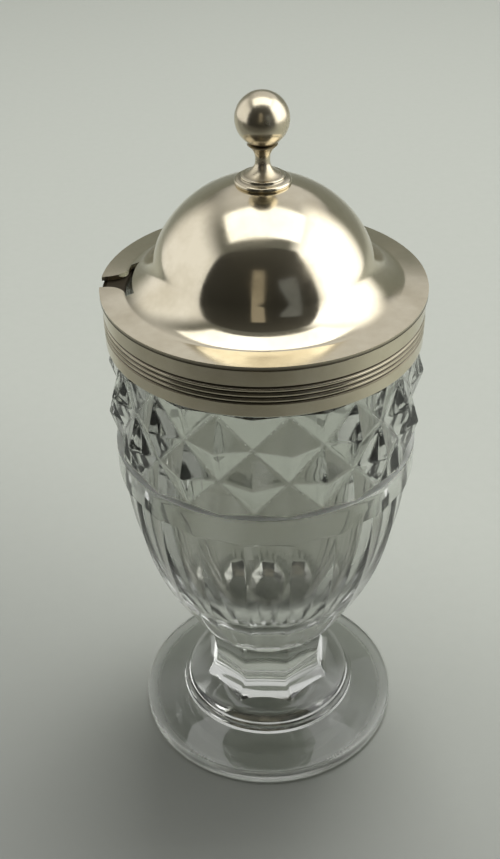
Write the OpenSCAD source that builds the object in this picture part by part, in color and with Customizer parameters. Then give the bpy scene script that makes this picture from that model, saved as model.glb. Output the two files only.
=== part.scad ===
// Cut-glass mustard pot with a reeded silver collar and a hinged, domed silver cover.
// The origin is the centre of the foot's underside and +Z is up. The front faces -Y,
// the spoon notch is at -X and the hinge is at the back, on +Y.

/* [Foot] */
// Radius of the foot at its widest
foot_r = 24.3; // [20:0.1:30]
// Thickness of the foot at its edge
foot_edge_h = 3.2; // [2.6:0.1:5]
// Radius that rounds the foot's edge, above and below
foot_round = 1.1; // [0.4:0.1:1.2]
// Rise of the foot's top from its edge to the pad
foot_rise = 2; // [0.5:0.1:4]
// Radius of the raised pad that carries the stem
pad_r = 16.6; // [15:0.1:18]
// Height of the pad's edge above the foot
pad_h = 1.3; // [1:0.1:3]
// Radius that rounds the pad's upper edge
pad_round = 0.9; // [0.3:0.1:0.9]
// Rise of the pad's rounded top from its edge to the axis
pad_rise = 4.6; // [3.5:0.1:5.5]

/* [Stem] */
// Facets around the stem, counted in opposite pairs
stem_pairs = 4; // [4:1:6]
// Half the width across the facets at the waist
waist_r = 9.6; // [8:0.1:10.8]
// Half the width across the facets at the bowl
throat_r = 10.6; // [9.8:0.1:11]
// Half the width across the facets where they end inside the pad
stem_foot_r = 13; // [12.5:0.1:13.4]
// Radius of the hollow that flares the facets out below the waist
stem_hollow_r = 6.8; // [6:0.1:9]
// Height of the waist above the pad's edge
waist_h = 7.8; // [5:0.1:12]
// Height of the bowl above the waist
throat_h = 7.8; // [5:0.1:12]
// Turn of the facets from the front
stem_turn = -3; // [-22:0.5:22]

/* [Bowl] */
// Flutes around the bowl
flute_count = 20; // [14:1:28]
// Half the width across the flutes at the bowl's base
bowl_base_r = 12; // [11.6:0.1:14]
// Half the width across the flutes under the plain band
bowl_r = 24.3; // [22.5:0.1:26]
// Height of the fluted part
bowl_h = 37.4; // [30:0.1:45]
// Turn of the flutes from the front
flute_turn = 0.4; // [-9:0.1:9]
// How far the plain band stands proud of the flutes
band_proud = 1.2; // [0.6:0.1:2]
// Height of the plain band
band_h = 5.2; // [3:0.1:8]
// Thickness of the glass under the bowl's hollow
floor_t = 7; // [4:0.1:10]
// Thickness of the glass behind the grooves of the diamonds
wall_t = 3.2; // [2:0.1:5]

/* [Diamond band] */
// Diamonds around the band
diamond_count = 14; // [10:1:20]
// Half the height of a diamond, which is the step between rows
diamond_h = 6.2; // [4:0.1:8]
// Steps up the band
diamond_steps = 3; // [2:1:5]
// Depth of the grooves below the plain band
groove_depth = 1; // [0.5:0.1:1.6]
// How far the points stand out past the plain band
diamond_swell = 0.8; // [0:0.1:1.5]
// Turn of the diamonds from the front
diamond_turn = -4.6; // [-12:0.1:12]

/* [Neck and collar] */
// How far the glass neck is set in from the plain band
neck_inset = 1.1; // [-0.5:0.1:2.5]
// Thickness of the glass at the mouth
neck_t = 2.4; // [1.8:0.1:3.5]
// Bare glass between the diamonds and the collar
shoulder_h = 0.9; // [0.4:0.1:2]
// Thickness of the plaster bed
bed_t = 0.7; // [0.4:0.1:1.2]
// Thickness of the collar's sheet
collar_t = 0.6; // [0.5:0.05:1]
// Height of the collar
collar_h = 7.9; // [6:0.1:11]
// Grooves in the reeding
reed_count = 4; // [2:1:5]
// Spacing of the grooves
reed_pitch = 0.87; // [0.6:0.01:1.1]
// Radius of each groove's section
reed_r = 0.24; // [0.1:0.01:0.28]
// Height of the lowest groove above the collar's lower edge
reed_base = 2.4; // [1.5:0.1:3]
// Thickness of the ring that the cover rests on
seat_t = 0.9; // [0.6:0.1:1.5]

/* [Cover] */
// Thickness of the cover's sheet
lid_t = 0.7; // [0.5:0.05:1]
// Joint between the collar and the closed cover
lid_gap = 0.15; // [0.1:0.01:0.4]
// How far the flange stands out past the collar
lid_overhang = 0.3; // [0:0.05:1]
// How far the flange falls from the foot of the cove to the rim
flange_fall = 0.5; // [0:0.05:0.8]
// Outer radius of the dome
dome_r = 18.1; // [15:0.1:19]
// Height of the dome as a share of a round one's
dome_flat = 0.95; // [0.8:0.01:1.05]
// Depth of the dome's centre below the top of the flange
dome_sink = 0.1; // [0:0.05:2]
// Radius of the cove between dome and flange
cove_r = 5.3; // [2.5:0.1:6]
// Depth of the bezel below the flange
bezel_h = 3.5; // [2:0.1:5]
// Thickness of the bezel's sheet
bezel_t = 0.6; // [0.4:0.05:1]
// Clearance between the bezel and the mouth
bezel_gap = 0.4; // [0.3:0.05:1]
// Width of the spoon notch at the rim
notch_w = 3.5; // [2.5:0.1:6]
// Depth of the spoon notch in from the rim
notch_depth = 5.2; // [4:0.1:5.6]
// Radius of the corners where the notch widens
notch_round = 3.5; // [1.5:0.1:3.6]
// Width of the slit that the notch leaves behind its corners
notch_slit = 0.7; // [0.4:0.05:1.2]

/* [Hinge] */
// Outer radius of the knuckles
knuckle_r = 1.2; // [0.9:0.05:1.6]
// Length of each knuckle
knuckle_l = 2.5; // [1.5:0.1:4]
// Gap between neighbouring knuckles
knuckle_gap = 0.1; // [0.05:0.01:0.3]
// Radius of the pin
pin_r = 0.5; // [0.3:0.05:0.6]
// Radial clearance of the pin in the knuckles
pin_clear = 0.03; // [0.02:0.01:0.08]
// How far the pin stands out at each end
pin_out = 0.3; // [0:0.05:0.6]
// Clearance between the cover's rim and the knuckles
hinge_gap = 0.25; // [0.2:0.05:0.6]
// Thickness of the bearer on the cover
bearer_t = 0.7; // [0.5:0.05:1.2]
// Height of the bearer on the collar
bearer_h = 4.2; // [3:0.1:5.5]
// Length of the bearer over the flange
bearer_l = 3; // [2:0.1:3.4]

/* [Finial] */
// Radius of the lower disc on the dome
disc_r = 4.4; // [3.5:0.1:6]
// Thickness of the lower disc at its edge
disc_t = 0.8; // [0.4:0.05:1]
// Radius of the upper step
step_r = 3.4; // [2.9:0.1:3.5]
// Height of the upper step
step_t = 0.55; // [0.3:0.05:1]
// Radius of the spool at its base
spool_base_r = 2.9; // [2.1:0.1:2.9]
// Radius of the spool at its neck
spool_neck_r = 1.12; // [1:0.02:1.6]
// Radius of the flare under the ball
flare_r = 2.3; // [1.7:0.05:2.6]
// Height of the spool
spool_h = 4.7; // [3.6:0.1:7]
// Height of the neck above the spool's base
spool_neck_h = 2.3; // [1.5:0.05:2.8]
// Radius of the ball
ball_r = 4.1; // [3:0.1:6]
// Radius of the stud through the finial
stud_r = 0.7; // [0.4:0.05:0.8]
// Radius of the washer inside the dome
washer_r = 2.6; // [1.8:0.1:4]
// Thickness of the washer
washer_t = 0.4; // [0.3:0.05:0.8]
// Width of the square nut across its flats
nut_w = 3; // [2.4:0.1:4.5]
// Thickness of the nut
nut_t = 1.3; // [0.8:0.1:2]

/* [Hidden] */
$fn = 96;

glass_colour = [0.84, 0.87, 0.85, 0.6];
plaster_colour = "#e9e4d8";
silver_colour = "#cfc7b6";
inside_silver_colour = "#b8b0a0";
wire_colour = "#8f8a80";

// Film of solder or cement between pieces that are fixed to each other
film = 0.02;
// Overlap that joins or cuts shapes cleanly
over = 1;
// Width of the plain ring under the bowl, around the stem
base_ledge = 0.3;
// How far the half diamonds at the edges of the band stay inside their neighbours
edge_ledge = 0.2;
// Sweep of the foot's upper edge, up to its slope
edge_sweep = 75;
// Sweep of the pad's edge, up to its rounded top
pad_sweep = 80;
// Exponent of the spool's hollow curves
spool_curve = 2.5;
// Segments that draw each arc of a profile
arc_steps = 12;
// The front of the pot faces this way
front = -90;

// Heights up the glass
foot_top = foot_edge_h + foot_rise;
pad_top = foot_top + pad_h;
waist_z = pad_top + waist_h;
bowl_z = waist_z + throat_h;
band_z = bowl_z + bowl_h;
diamond_z = band_z + band_h;
shoulder_z = diamond_z + diamond_steps * diamond_h;

// Underside of the bowl, which covers the stem's corners
bowl_foot_r = throat_r / cos(90 / stem_pairs) + base_ledge;

// Radii and heights of the mouth and the collar
band_r = bowl_r + band_proud;
groove_r = band_r - groove_depth;
cavity_r = groove_r - wall_t;
neck_r = band_r - neck_inset;
mouth_r = neck_r - neck_t;
collar_in_r = neck_r + bed_t;
collar_r = collar_in_r + collar_t;
collar_z = shoulder_z + shoulder_h;
collar_top = collar_z + collar_h;
lip_z = collar_top - seat_t - film;

// Cover
lid_r = collar_r + lid_overhang;
lid_z = collar_top + lid_gap;
flange_z = lid_z + lid_t;
dome_z = flange_z - dome_sink;
cove_z = flange_z + flange_fall + cove_r;
cove_x = sqrt(pow(dome_r + cove_r, 2) - pow(cove_z - dome_z, 2));
cove_angle = atan2(cove_z - dome_z, cove_x);
bezel_r = mouth_r - bezel_gap;
notch_r = lid_r - notch_depth;

// Hinge
hinge_y = lid_r + hinge_gap + knuckle_r;
hinge_z = collar_top;
knuckle_pitch = knuckle_l + knuckle_gap;
hinge_l = 5 * knuckle_l + 4 * knuckle_gap;
bore_r = pin_r + pin_clear;
fixed_knuckles = [-2, 0, 2];
lid_knuckles = [-1, 1];

// Finial
disc_z = dome_height(disc_r, 0) + disc_t;
step_z = disc_z + step_t;
spool_top = step_z + spool_h;
ball_seat = 0.2;
ball_z = spool_top - ball_seat + ball_r;
stud_hole_r = stud_r + film;
washer_z = dome_height(washer_r, lid_t) - film;
nut_z = washer_z - washer_t - film;

// Points of an arc about a centre, from one angle to another
function arc(centre, r, from, to) =
    [for (i = [0:arc_steps]) centre + r * [cos(from + (to - from) * i / arc_steps),
                                           sin(from + (to - from) * i / arc_steps)]];

// Height of the cover's skin for a height on a round dome: everything above the flange is
// squatted, and the skin keeps its thickness
function squat(z, inset) = flange_z - inset + (z - flange_z + inset) * dome_flat;

// Height of the dome at a radius, inset from its outer surface
function dome_height(r, inset) = squat(dome_z + sqrt(pow(dome_r - inset, 2) - pow(r, 2)), inset);

// Profile of the round foot with the pad on it
module foot_section() {
    edge_x = foot_r - foot_round;
    pad_x = pad_r - pad_round;
    polygon(concat(
        [[0, 0]],
        arc([edge_x, foot_round], foot_round, -90, 0),
        arc([edge_x, foot_edge_h - foot_round], foot_round, 0, edge_sweep),
        [[pad_r, foot_top]],
        arc([pad_x, pad_top - pad_round], pad_round, 0, pad_sweep),
        [for (p = arc([0, 0], 1, 0, 90)) [pad_x * p.x, pad_top + pad_rise * p.y]]
    ));
}

// A prism with the same section seen from both sides, as wide as the pot, about the axis
module two_sided_prism(turn) {
    rotate([0, 0, turn])
        rotate([90, 0, 0])
            linear_extrude(height = 4 * foot_r, center = true)
                children();
}

// Section across one opposite pair of stem facets, hollowed below the waist
module stem_section() {
    top_r = waist_r + (throat_r - waist_r) * (throat_h + over) / throat_h;
    difference() {
        polygon([
            [-stem_foot_r, pad_top - over], [stem_foot_r, pad_top - over],
            [stem_foot_r, waist_z], [waist_r, waist_z], [top_r, bowl_z + over],
            [-top_r, bowl_z + over], [-waist_r, waist_z], [-stem_foot_r, waist_z]
        ]);
        for (side = [-1, 1])
            intersection() {
                translate([side * (waist_r + stem_hollow_r), waist_z])
                    circle(stem_hollow_r);
                translate([-foot_r, 0])
                    square([2 * foot_r, waist_z]);
            }
    }
}

// Eight-sided stem
module stem() {
    intersection_for(i = [0:stem_pairs - 1])
        two_sided_prism(stem_turn + i * 180 / stem_pairs)
            stem_section();
}

// Glass that one flute takes away, seen from the side: everything outside the bowl's curve,
// with a slope that lets the flute run out under the plain band
module flute_section() {
    spread = bowl_r - bowl_base_r;
    belly_r = (bowl_h * bowl_h + spread * spread) / (2 * spread);
    exit_z = band_z - band_proud;
    difference() {
        polygon([
            [0, bowl_z - over], [2 * band_r, bowl_z - over], [2 * band_r, band_z],
            [band_r + over, band_z + over], [bowl_r - over, exit_z - over], [0, exit_z - over]
        ]);
        translate([bowl_r - belly_r, band_z])
            circle(belly_r);
    }
}

// Bowl with its flutes and the plain band above them
module fluted_bowl() {
    flute_w = 2 * band_r * tan(180 / flute_count) + over;
    difference() {
        rotate_extrude()
            polygon([
                [0, bowl_z], [bowl_foot_r, bowl_z], [band_r, bowl_z + band_r - bowl_foot_r],
                [band_r, diamond_z], [0, diamond_z]
            ]);
        for (i = [0:flute_count - 1])
            rotate([0, 0, front + flute_turn + i * 360 / flute_count])
                rotate([90, 0, 0])
                    linear_extrude(height = flute_w, center = true)
                        flute_section();
    }
}

// Radius of a point of the diamond band: grooves cross where step and row add up to an
// even number, and the points of the diamonds lie between
function diamond_radius(step, row) =
    (step + row) % 2 == 0 ? groove_r
    : row == 0 ? band_r - edge_ledge
    : row == diamond_steps ? min(band_r, collar_r) - edge_ledge
    : band_r + diamond_swell;

// Band of relief diamonds, a closed solid of flat facets
module diamond_band() {
    around = 2 * diamond_count;
    rows = diamond_steps;
    ring = [for (row = [0:rows]) for (step = [0:around - 1])
        let (angle = front + diamond_turn + step * 360 / around, r = diamond_radius(step, row))
            [r * cos(angle), r * sin(angle), diamond_z + row * diamond_h]];
    low = len(ring);
    high = low + 1;
    points = concat(ring, [[0, 0, diamond_z], [0, 0, shoulder_z]]);
    facets = [for (row = [0:rows - 1]) for (step = [0:around - 1])
        let (a = row * around + step,
             b = row * around + (step + 1) % around,
             c = b + around,
             d = a + around)
            each ((step + row) % 2 == 0 ? [[a, c, b], [a, d, c]] : [[a, d, b], [b, d, c]])];
    floor_facets = [for (step = [0:around - 1]) [low, step, (step + 1) % around]];
    roof_facets = [for (step = [0:around - 1])
        [high, rows * around + (step + 1) % around, rows * around + step]];
    polyhedron(points, concat(facets, floor_facets, roof_facets));
}

// Profile of the hollow: straight mouth, slight taper behind the diamonds, rounded bowl
module cavity_section() {
    bottom = bowl_z + floor_t;
    depth = band_z - bottom;
    fullness = 2.3;
    floor_angle = 86;
    curve = [for (i = [0:2 * arc_steps])
        let (a = floor_angle * i / (2 * arc_steps))
            [cavity_r * pow(cos(a), 2 / fullness), band_z - depth * pow(sin(a), 2 / fullness)]];
    polygon(concat(
        [[0, lip_z + over], [mouth_r, lip_z + over], [mouth_r, collar_z]],
        curve,
        [[0, curve[2 * arc_steps].y]]
    ));
}

module glass_body() {
    color(glass_colour)
        difference() {
            union() {
                rotate_extrude()
                    foot_section();
                stem();
                fluted_bowl();
                diamond_band();
                translate([0, 0, shoulder_z - over])
                    cylinder(r = neck_r, h = lip_z - shoulder_z + over);
            }
            rotate_extrude()
                cavity_section();
        }
}

// A plain ring between two radii and two heights
module ring(inner, outer, low, high) {
    rotate_extrude()
        translate([inner, low])
            square([outer - inner, high - low]);
}

module plaster_bed() {
    color(plaster_colour)
        ring(neck_r + film, collar_in_r - film, collar_z, lip_z);
}

module collar_band() {
    color(silver_colour)
        rotate_extrude()
            difference() {
                translate([collar_in_r, collar_z])
                    square([collar_t, collar_h]);
                for (i = [0:reed_count - 1])
                    translate([collar_r, collar_z + reed_base + i * reed_pitch])
                        circle(reed_r);
            }
}

module seat_ring() {
    color(inside_silver_colour)
        ring(mouth_r, collar_in_r - film, collar_top - seat_t, collar_top);
}

// Section of the flange, flat underneath, raised from its top surface
module flange_section(raise) {
    polygon([
        [0, lid_z],
        [lid_r, lid_z],
        [lid_r, flange_z + raise],
        [cove_x, squat(flange_z + flange_fall, 0) + raise],
        [0, squat(flange_z + flange_fall, 0) + raise]
    ]);
}

// The space under the cover's skin, inset from its outer surface
module cover_fill(inset) {
    skin = concat(
        arc([cove_x, cove_z], cove_r + inset, 270, 180 + cove_angle),
        arc([0, dome_z], dome_r - inset, cove_angle, 90)
    );
    polygon(concat(
        [[0, lid_z - over], [cove_x, lid_z - over]],
        [for (p = skin) [p.x, squat(p.y, inset)]]
    ));
}

// Outline of the spoon notch seen from above, at the rim on -X
module notch_outline() {
    half = notch_w / 2 + notch_round;
    corner_x = notch_r + notch_slit + notch_round;
    mirror([1, 0])
        difference() {
            translate([0, -half])
                square([lid_r + over, 2 * half]);
            circle(notch_r);
            for (side = [-1, 1]) {
                translate([corner_x, side * half])
                    circle(notch_round);
                translate([corner_x, side * half - notch_round])
                    square([lid_r, 2 * notch_round]);
            }
        }
}

module lid_cover() {
    color(silver_colour)
        difference() {
            rotate_extrude()
                difference() {
                    union() {
                        flange_section(0);
                        intersection() {
                            cover_fill(0);
                            translate([0, lid_z])
                                square([lid_r, 2 * dome_r]);
                        }
                    }
                    cover_fill(lid_t);
                }
            translate([0, 0, lid_z - over])
                linear_extrude(height = cove_r)
                    notch_outline();
            translate([0, 0, dome_z])
                cylinder(r = stud_hole_r, h = dome_r + over);
        }
}

// Bezel up to the underside of the cover, cut away at the notch
module lid_bezel() {
    color(inside_silver_colour)
        difference() {
            rotate_extrude()
                intersection() {
                    translate([bezel_r - bezel_t, lid_z - bezel_h])
                        square([bezel_t, bezel_h + cove_r]);
                    union() {
                        cover_fill(lid_t + film);
                        translate([0, lid_z - bezel_h])
                            square([lid_r, bezel_h - film]);
                    }
                }
            translate([-lid_r, -notch_w / 2 - notch_round, lid_z - bezel_h - over])
                cube([lid_r, notch_w + 2 * notch_round, bezel_h + cove_r + over]);
        }
}

// A rod along the hinge, centred on a place in the row of knuckles
module hinge_rod(place, r, length) {
    translate([place * knuckle_pitch, hinge_y, hinge_z])
        rotate([0, 90, 0])
            cylinder(r = r, h = length, center = true);
}

module knuckle(place) {
    color(silver_colour)
        difference() {
            hinge_rod(place, knuckle_r, knuckle_l);
            hinge_rod(place, bore_r, knuckle_l + over);
        }
}

module collar_knuckle_left() knuckle(fixed_knuckles[0]);
module collar_knuckle_middle() knuckle(fixed_knuckles[1]);
module collar_knuckle_right() knuckle(fixed_knuckles[2]);
module lid_knuckle_left() knuckle(lid_knuckles[0]);
module lid_knuckle_right() knuckle(lid_knuckles[1]);

// Bearer with a flat back and a channel for the knuckles, fitted to the round collar
module collar_hinge_plate() {
    low = hinge_z - bearer_h;
    color(silver_colour)
        difference() {
            translate([-hinge_l / 2, 0, low])
                cube([hinge_l, hinge_y, bearer_h - lid_gap]);
            translate([0, 0, low - over])
                cylinder(r = collar_r + film, h = bearer_h + 2 * over);
            hinge_rod(0, knuckle_r + film, hinge_l + 2 * over);
            for (place = lid_knuckles)
                hinge_rod(place, knuckle_r + hinge_gap, knuckle_l + 2 * knuckle_gap);
        }
}

// Bearer fitted to the flange, with a tongue that holds each of the cover's knuckles
module lid_hinge_plate() {
    low = flange_z + film;
    color(silver_colour)
        difference() {
            union() {
                translate([-hinge_l / 2, lid_r - bearer_l, low])
                    cube([hinge_l, bearer_l, bearer_t]);
                for (place = lid_knuckles)
                    translate([place * knuckle_pitch - knuckle_l / 2, lid_r - over, low])
                        cube([knuckle_l, hinge_y - lid_r + over, bearer_t]);
            }
            rotate_extrude()
                flange_section(film);
            for (place = lid_knuckles)
                hinge_rod(place, knuckle_r + film, knuckle_l + 2 * knuckle_gap);
        }
}

module hinge_pin() {
    color(wire_colour)
        hinge_rod(0, pin_r, hinge_l + 2 * pin_out);
}

// Stepped disc, hollowed underneath to sit on the dome
module finial_foot() {
    color(silver_colour)
        difference() {
            rotate_extrude()
                difference() {
                    union() {
                        translate([stud_hole_r, disc_z - disc_t - over])
                            square([disc_r - disc_t / 2 - stud_hole_r, disc_t + over]);
                        translate([disc_r - disc_t / 2, disc_z - disc_t / 2])
                            circle(disc_t / 2);
                        translate([stud_hole_r, disc_z - over])
                            square([step_r - stud_hole_r, step_t + over]);
                    }
                    translate([0, disc_z - dome_r])
                        square([stud_hole_r, dome_r + over]);
                }
            rotate_extrude()
                cover_fill(-film);
        }
}

// Turned spool: hollow curve from base to neck, and a flare out to the ball's seat
module finial_spool() {
    low = step_z + film;
    neck_z = step_z + spool_neck_h;
    flare_h = spool_top - neck_z;
    color(silver_colour)
        difference() {
            rotate_extrude()
                polygon(concat(
                    [[stud_hole_r, low]],
                    [for (i = [0:arc_steps])
                        let (u = i / arc_steps)
                            [spool_neck_r + (spool_base_r - spool_neck_r) * pow(1 - u, spool_curve),
                             low + (neck_z - low) * u]],
                    [for (i = [1:arc_steps])
                        let (u = i / arc_steps)
                            [spool_neck_r + (flare_r - spool_neck_r) * pow(u, spool_curve),
                             neck_z + flare_h * u]],
                    [[stud_hole_r, spool_top]]
                ));
            translate([0, 0, ball_z])
                sphere(ball_r + film);
        }
}

module finial_ball() {
    color(silver_colour)
        difference() {
            translate([0, 0, ball_z])
                sphere(ball_r);
            translate([0, 0, ball_z - ball_r - over])
                cylinder(r = stud_hole_r, h = ball_r + over);
        }
}

module finial_stud() {
    low = nut_z - nut_t;
    color(wire_colour)
        translate([0, 0, low])
            cylinder(r = stud_r, h = ball_z - film - low);
}

module finial_washer() {
    color(inside_silver_colour)
        ring(stud_hole_r, washer_r, washer_z - washer_t, washer_z);
}

module finial_nut() {
    color(inside_silver_colour)
        difference() {
            translate([-nut_w / 2, -nut_w / 2, nut_z - nut_t])
                cube([nut_w, nut_w, nut_t]);
            translate([0, 0, nut_z - nut_t - over])
                cylinder(r = stud_hole_r, h = nut_t + 2 * over);
        }
}

glass_body();
plaster_bed();
collar_band();
seat_ring();
collar_hinge_plate();
collar_knuckle_left();
collar_knuckle_middle();
collar_knuckle_right();
hinge_pin();
lid_cover();
lid_bezel();
lid_hinge_plate();
lid_knuckle_left();
lid_knuckle_right();
finial_foot();
finial_spool();
finial_ball();
finial_stud();
finial_washer();
finial_nut();
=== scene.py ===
"""Cut-glass mustard pot with a reeded silver collar and a hinged silver cover, in a light box.

Sizes are in millimetres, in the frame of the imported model: the foot stands on z = 0, the front
faces -Y, the spoon notch is at -X and the hinge is at the back, on +Y. The light box around the
pot is in metres.
"""

import logging
import math
from collections.abc import Callable
from dataclasses import dataclass, field
from enum import Enum

import bmesh
import bpy
import numpy as np
from mathutils import Matrix


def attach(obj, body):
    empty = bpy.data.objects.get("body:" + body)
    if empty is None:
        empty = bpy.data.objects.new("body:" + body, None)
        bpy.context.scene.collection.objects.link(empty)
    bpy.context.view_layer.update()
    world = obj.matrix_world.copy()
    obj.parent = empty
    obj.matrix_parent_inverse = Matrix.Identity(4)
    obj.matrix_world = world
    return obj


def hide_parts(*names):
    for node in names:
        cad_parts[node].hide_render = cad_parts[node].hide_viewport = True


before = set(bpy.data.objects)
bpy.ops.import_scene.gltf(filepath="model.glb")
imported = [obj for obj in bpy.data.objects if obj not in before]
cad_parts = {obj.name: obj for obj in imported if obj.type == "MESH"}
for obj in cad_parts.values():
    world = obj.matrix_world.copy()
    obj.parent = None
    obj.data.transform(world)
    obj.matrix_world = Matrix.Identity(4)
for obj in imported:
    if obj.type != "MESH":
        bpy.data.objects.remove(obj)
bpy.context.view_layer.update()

LOG = logging.getLogger("mustard_pot")
MM = 0.001
TURN = 2.0 * math.pi
FRONT = -90.0
Array = np.ndarray
Rule = Callable[[Array], Array]
Point = tuple[float, float, float]
Socket = bpy.types.NodeSocket
Thing = bpy.types.Object
Material = bpy.types.Material


class Body(Enum):
    """The two bodies that the hinge joins."""

    POT = "pot"
    LID = "lid"


class Slot(Enum):
    """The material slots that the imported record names."""

    CUT_GLASS = "cut_glass"
    PLASTER = "plaster"
    SILVER = "silver"
    INNER_SILVER = "inner_silver"
    HINGE_WIRE = "hinge_wire"


def linear(hex_colour: str) -> tuple[float, float, float, float]:
    """Turn an sRGB hex colour into linear light.

    Args:
        hex_colour: Six hex digits after a hash.

    Returns:
        Red, green, blue and an alpha of 1.
    """
    channels = [int(hex_colour[i:i + 2], 16) / 255 for i in (1, 3, 5)]
    red, green, blue = [c / 12.92 if c <= 0.04045 else ((c + 0.055) / 1.055) ** 2.4
                        for c in channels]
    return red, green, blue, 1.0


class Recipe:
    """A node tree that is built step by step. A step gives the output that the next one takes."""

    def __init__(self, owner: Material | bpy.types.World) -> None:
        """Start with an empty tree.

        Args:
            owner: Material or world that the tree belongs to.
        """
        owner.use_nodes = True
        self.owner = owner
        self.tree = owner.node_tree
        self.tree.nodes.clear()

    def add_node(self, kind: str, output: str | int | None, inputs: dict,
                 **settings: str) -> Socket | None:
        """Add a node with its settings and links.

        Args:
            kind: Blender's name of the node type, without the words that all of them share.
            output: Name or number of the output that is wanted.
            inputs: Values or other nodes' outputs, by input name or number.
            settings: Options by attribute name.

        Returns:
            The wanted output.
        """
        node = self.tree.nodes.new(f"ShaderNode{kind}")
        for key, value in settings.items():
            setattr(node, key, value)
        for key, value in inputs.items():
            if isinstance(value, Socket):
                self.tree.links.new(value, node.inputs[key])
            else:
                node.inputs[key].default_value = value
        return None if output is None else node.outputs[output]

    def place(self, axis: str = "") -> Socket:
        """Object coordinates in metres, or only the one along X, Y or Z."""
        point = self.add_node("TexCoord", "Object", {})
        return self.add_node("SeparateXYZ", axis, {"Vector": point}) if axis else point

    def noise(self, size: float, detail: float, weight: float = 0.5,
              place: Socket | None = None) -> Socket:
        """Noise whose blobs have a size in millimetres, under finer layers of some weight."""
        return self.add_node("TexNoise", "Fac", {
            "Vector": self.place() if place is None else place, "Scale": 1.0 / (size * MM),
            "Detail": detail, "Roughness": weight})

    def span(self, value: Socket, low: float, high: float, first: float = 0.0,
             last: float = 1.0, curve: str = "LINEAR") -> Socket:
        """Map one range on to another along a curve, and hold both ends."""
        return self.add_node("MapRange", "Result", {
            "Value": value, "From Min": low, "From Max": high, "To Min": first, "To Max": last},
            interpolation_type=curve)

    def slant(self, lean: float, low: float, high: float) -> Socket:
        """A soft step across the floor, between two sums of y and a share of x."""
        across = self.maths("MULTIPLY_ADD", self.place("X"), lean, self.place("Y"))
        return self.span(across, low, high, curve="SMOOTHSTEP")

    def blend(self, share: Socket, first: Socket | str, second: Socket | str) -> Socket:
        """Blend two colours, hex or outputs, by the share of the second."""
        tones = [linear(tone) if isinstance(tone, str) else tone for tone in (first, second)]
        return self.add_node("Mix", 2, {"Factor": share, 6: tones[0], 7: tones[1]},
                             data_type="RGBA")

    def maths(self, operation: str, *values: Socket | float) -> Socket:
        """Work out one of Blender's sums, of numbers or outputs."""
        return self.add_node("Math", "Value", dict(enumerate(values)), operation=operation)

    def mark(self, name: str) -> Socket:
        """A number that is stored on a piece's points."""
        return self.add_node("Attribute", "Fac", {}, attribute_name=name)

    def bump(self, height: Socket, strength: float, depth: float) -> Socket:
        """The normal of a relief whose depth is in millimetres."""
        return self.add_node("Bump", "Normal", {
            "Height": height, "Strength": strength, "Distance": depth * MM})

    def shader(self, inputs: dict) -> Socket:
        """The shader of a solid surface, from values or outputs."""
        return self.add_node("BsdfPrincipled", "BSDF", inputs)

    def see_through(self, share: Socket, first: Socket | None, second: Socket | None,
                    tone: Socket | tuple = (1.0, 1.0, 1.0, 1.0)) -> Socket:
        """Mix a shader with tinted clear air, which takes the place that is left open."""
        air = self.add_node("BsdfTransparent", "BSDF", {"Color": tone})
        return self.add_node("MixShader", "Shader", {0: share, 1: first or air, 2: second or air})

    def finish(self, shader: Socket, kind: str = "OutputMaterial") -> Material | bpy.types.World:
        """Use a shader as the surface, and give back the owner."""
        self.add_node(kind, None, {"Surface": shader})
        return self.owner


@dataclass(frozen=True)
class SilverFinish:
    """Silver, raised or turned, then polished by hand for years.

    The eye sees a warm mirror that is a little uneven: broad dull clouds of old polish, a fine
    web of hairlines and brown tarnish where the cloth doesn't reach. The same brown is also
    painted shade in the joints between parts.
    """

    name: str
    bright: str
    dull: str
    tarnish_and_shade_tone: str
    smooth: float
    rough: float
    cloud_mm: float = 7.0
    cloud_span: tuple[float, float] = (0.35, 0.68)
    hairline_mm: float = 0.35
    hairline_relief: tuple[float, float] = (0.05, 0.03)
    rubbing: Point = (0.5, 0.9, 0.3)
    stretch: Point = (0.05, 1.0, 1.0)
    haze: float = 0.35
    tarnish_matt: float = 0.4

    def material(self) -> Material:
        """Build the node tree: clouds drive tone and roughness, hairlines drive the bump."""
        recipe = Recipe(bpy.data.materials.new(self.name))
        rubbed = recipe.add_node("Mapping", "Vector", {
            "Vector": recipe.place(), "Rotation": self.rubbing, "Scale": self.stretch})
        hairlines = recipe.noise(self.hairline_mm, 2.0, place=rubbed)
        cloud = recipe.span(recipe.noise(self.cloud_mm, 4.0, 0.6), *self.cloud_span)
        worn = recipe.blend(cloud, self.bright, self.dull)
        # The stored mark blends in the dark brown: tarnish in grooves, painted shade in joints
        # between parts.
        tarnish_and_shade = recipe.mark("tarnish_and_shade")
        hazed = recipe.maths("MULTIPLY_ADD", hairlines, self.haze, cloud)
        gloss = recipe.span(hazed, 0.0, 1.3, self.smooth, self.rough)
        return recipe.finish(recipe.shader({
            "Base Color": recipe.blend(tarnish_and_shade, worn, self.tarnish_and_shade_tone), "Metallic": 1.0,
            "Roughness": recipe.maths("MULTIPLY_ADD", tarnish_and_shade, self.tarnish_matt, gloss),
            "Normal": recipe.bump(hairlines, *self.hairline_relief)}))


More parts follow.
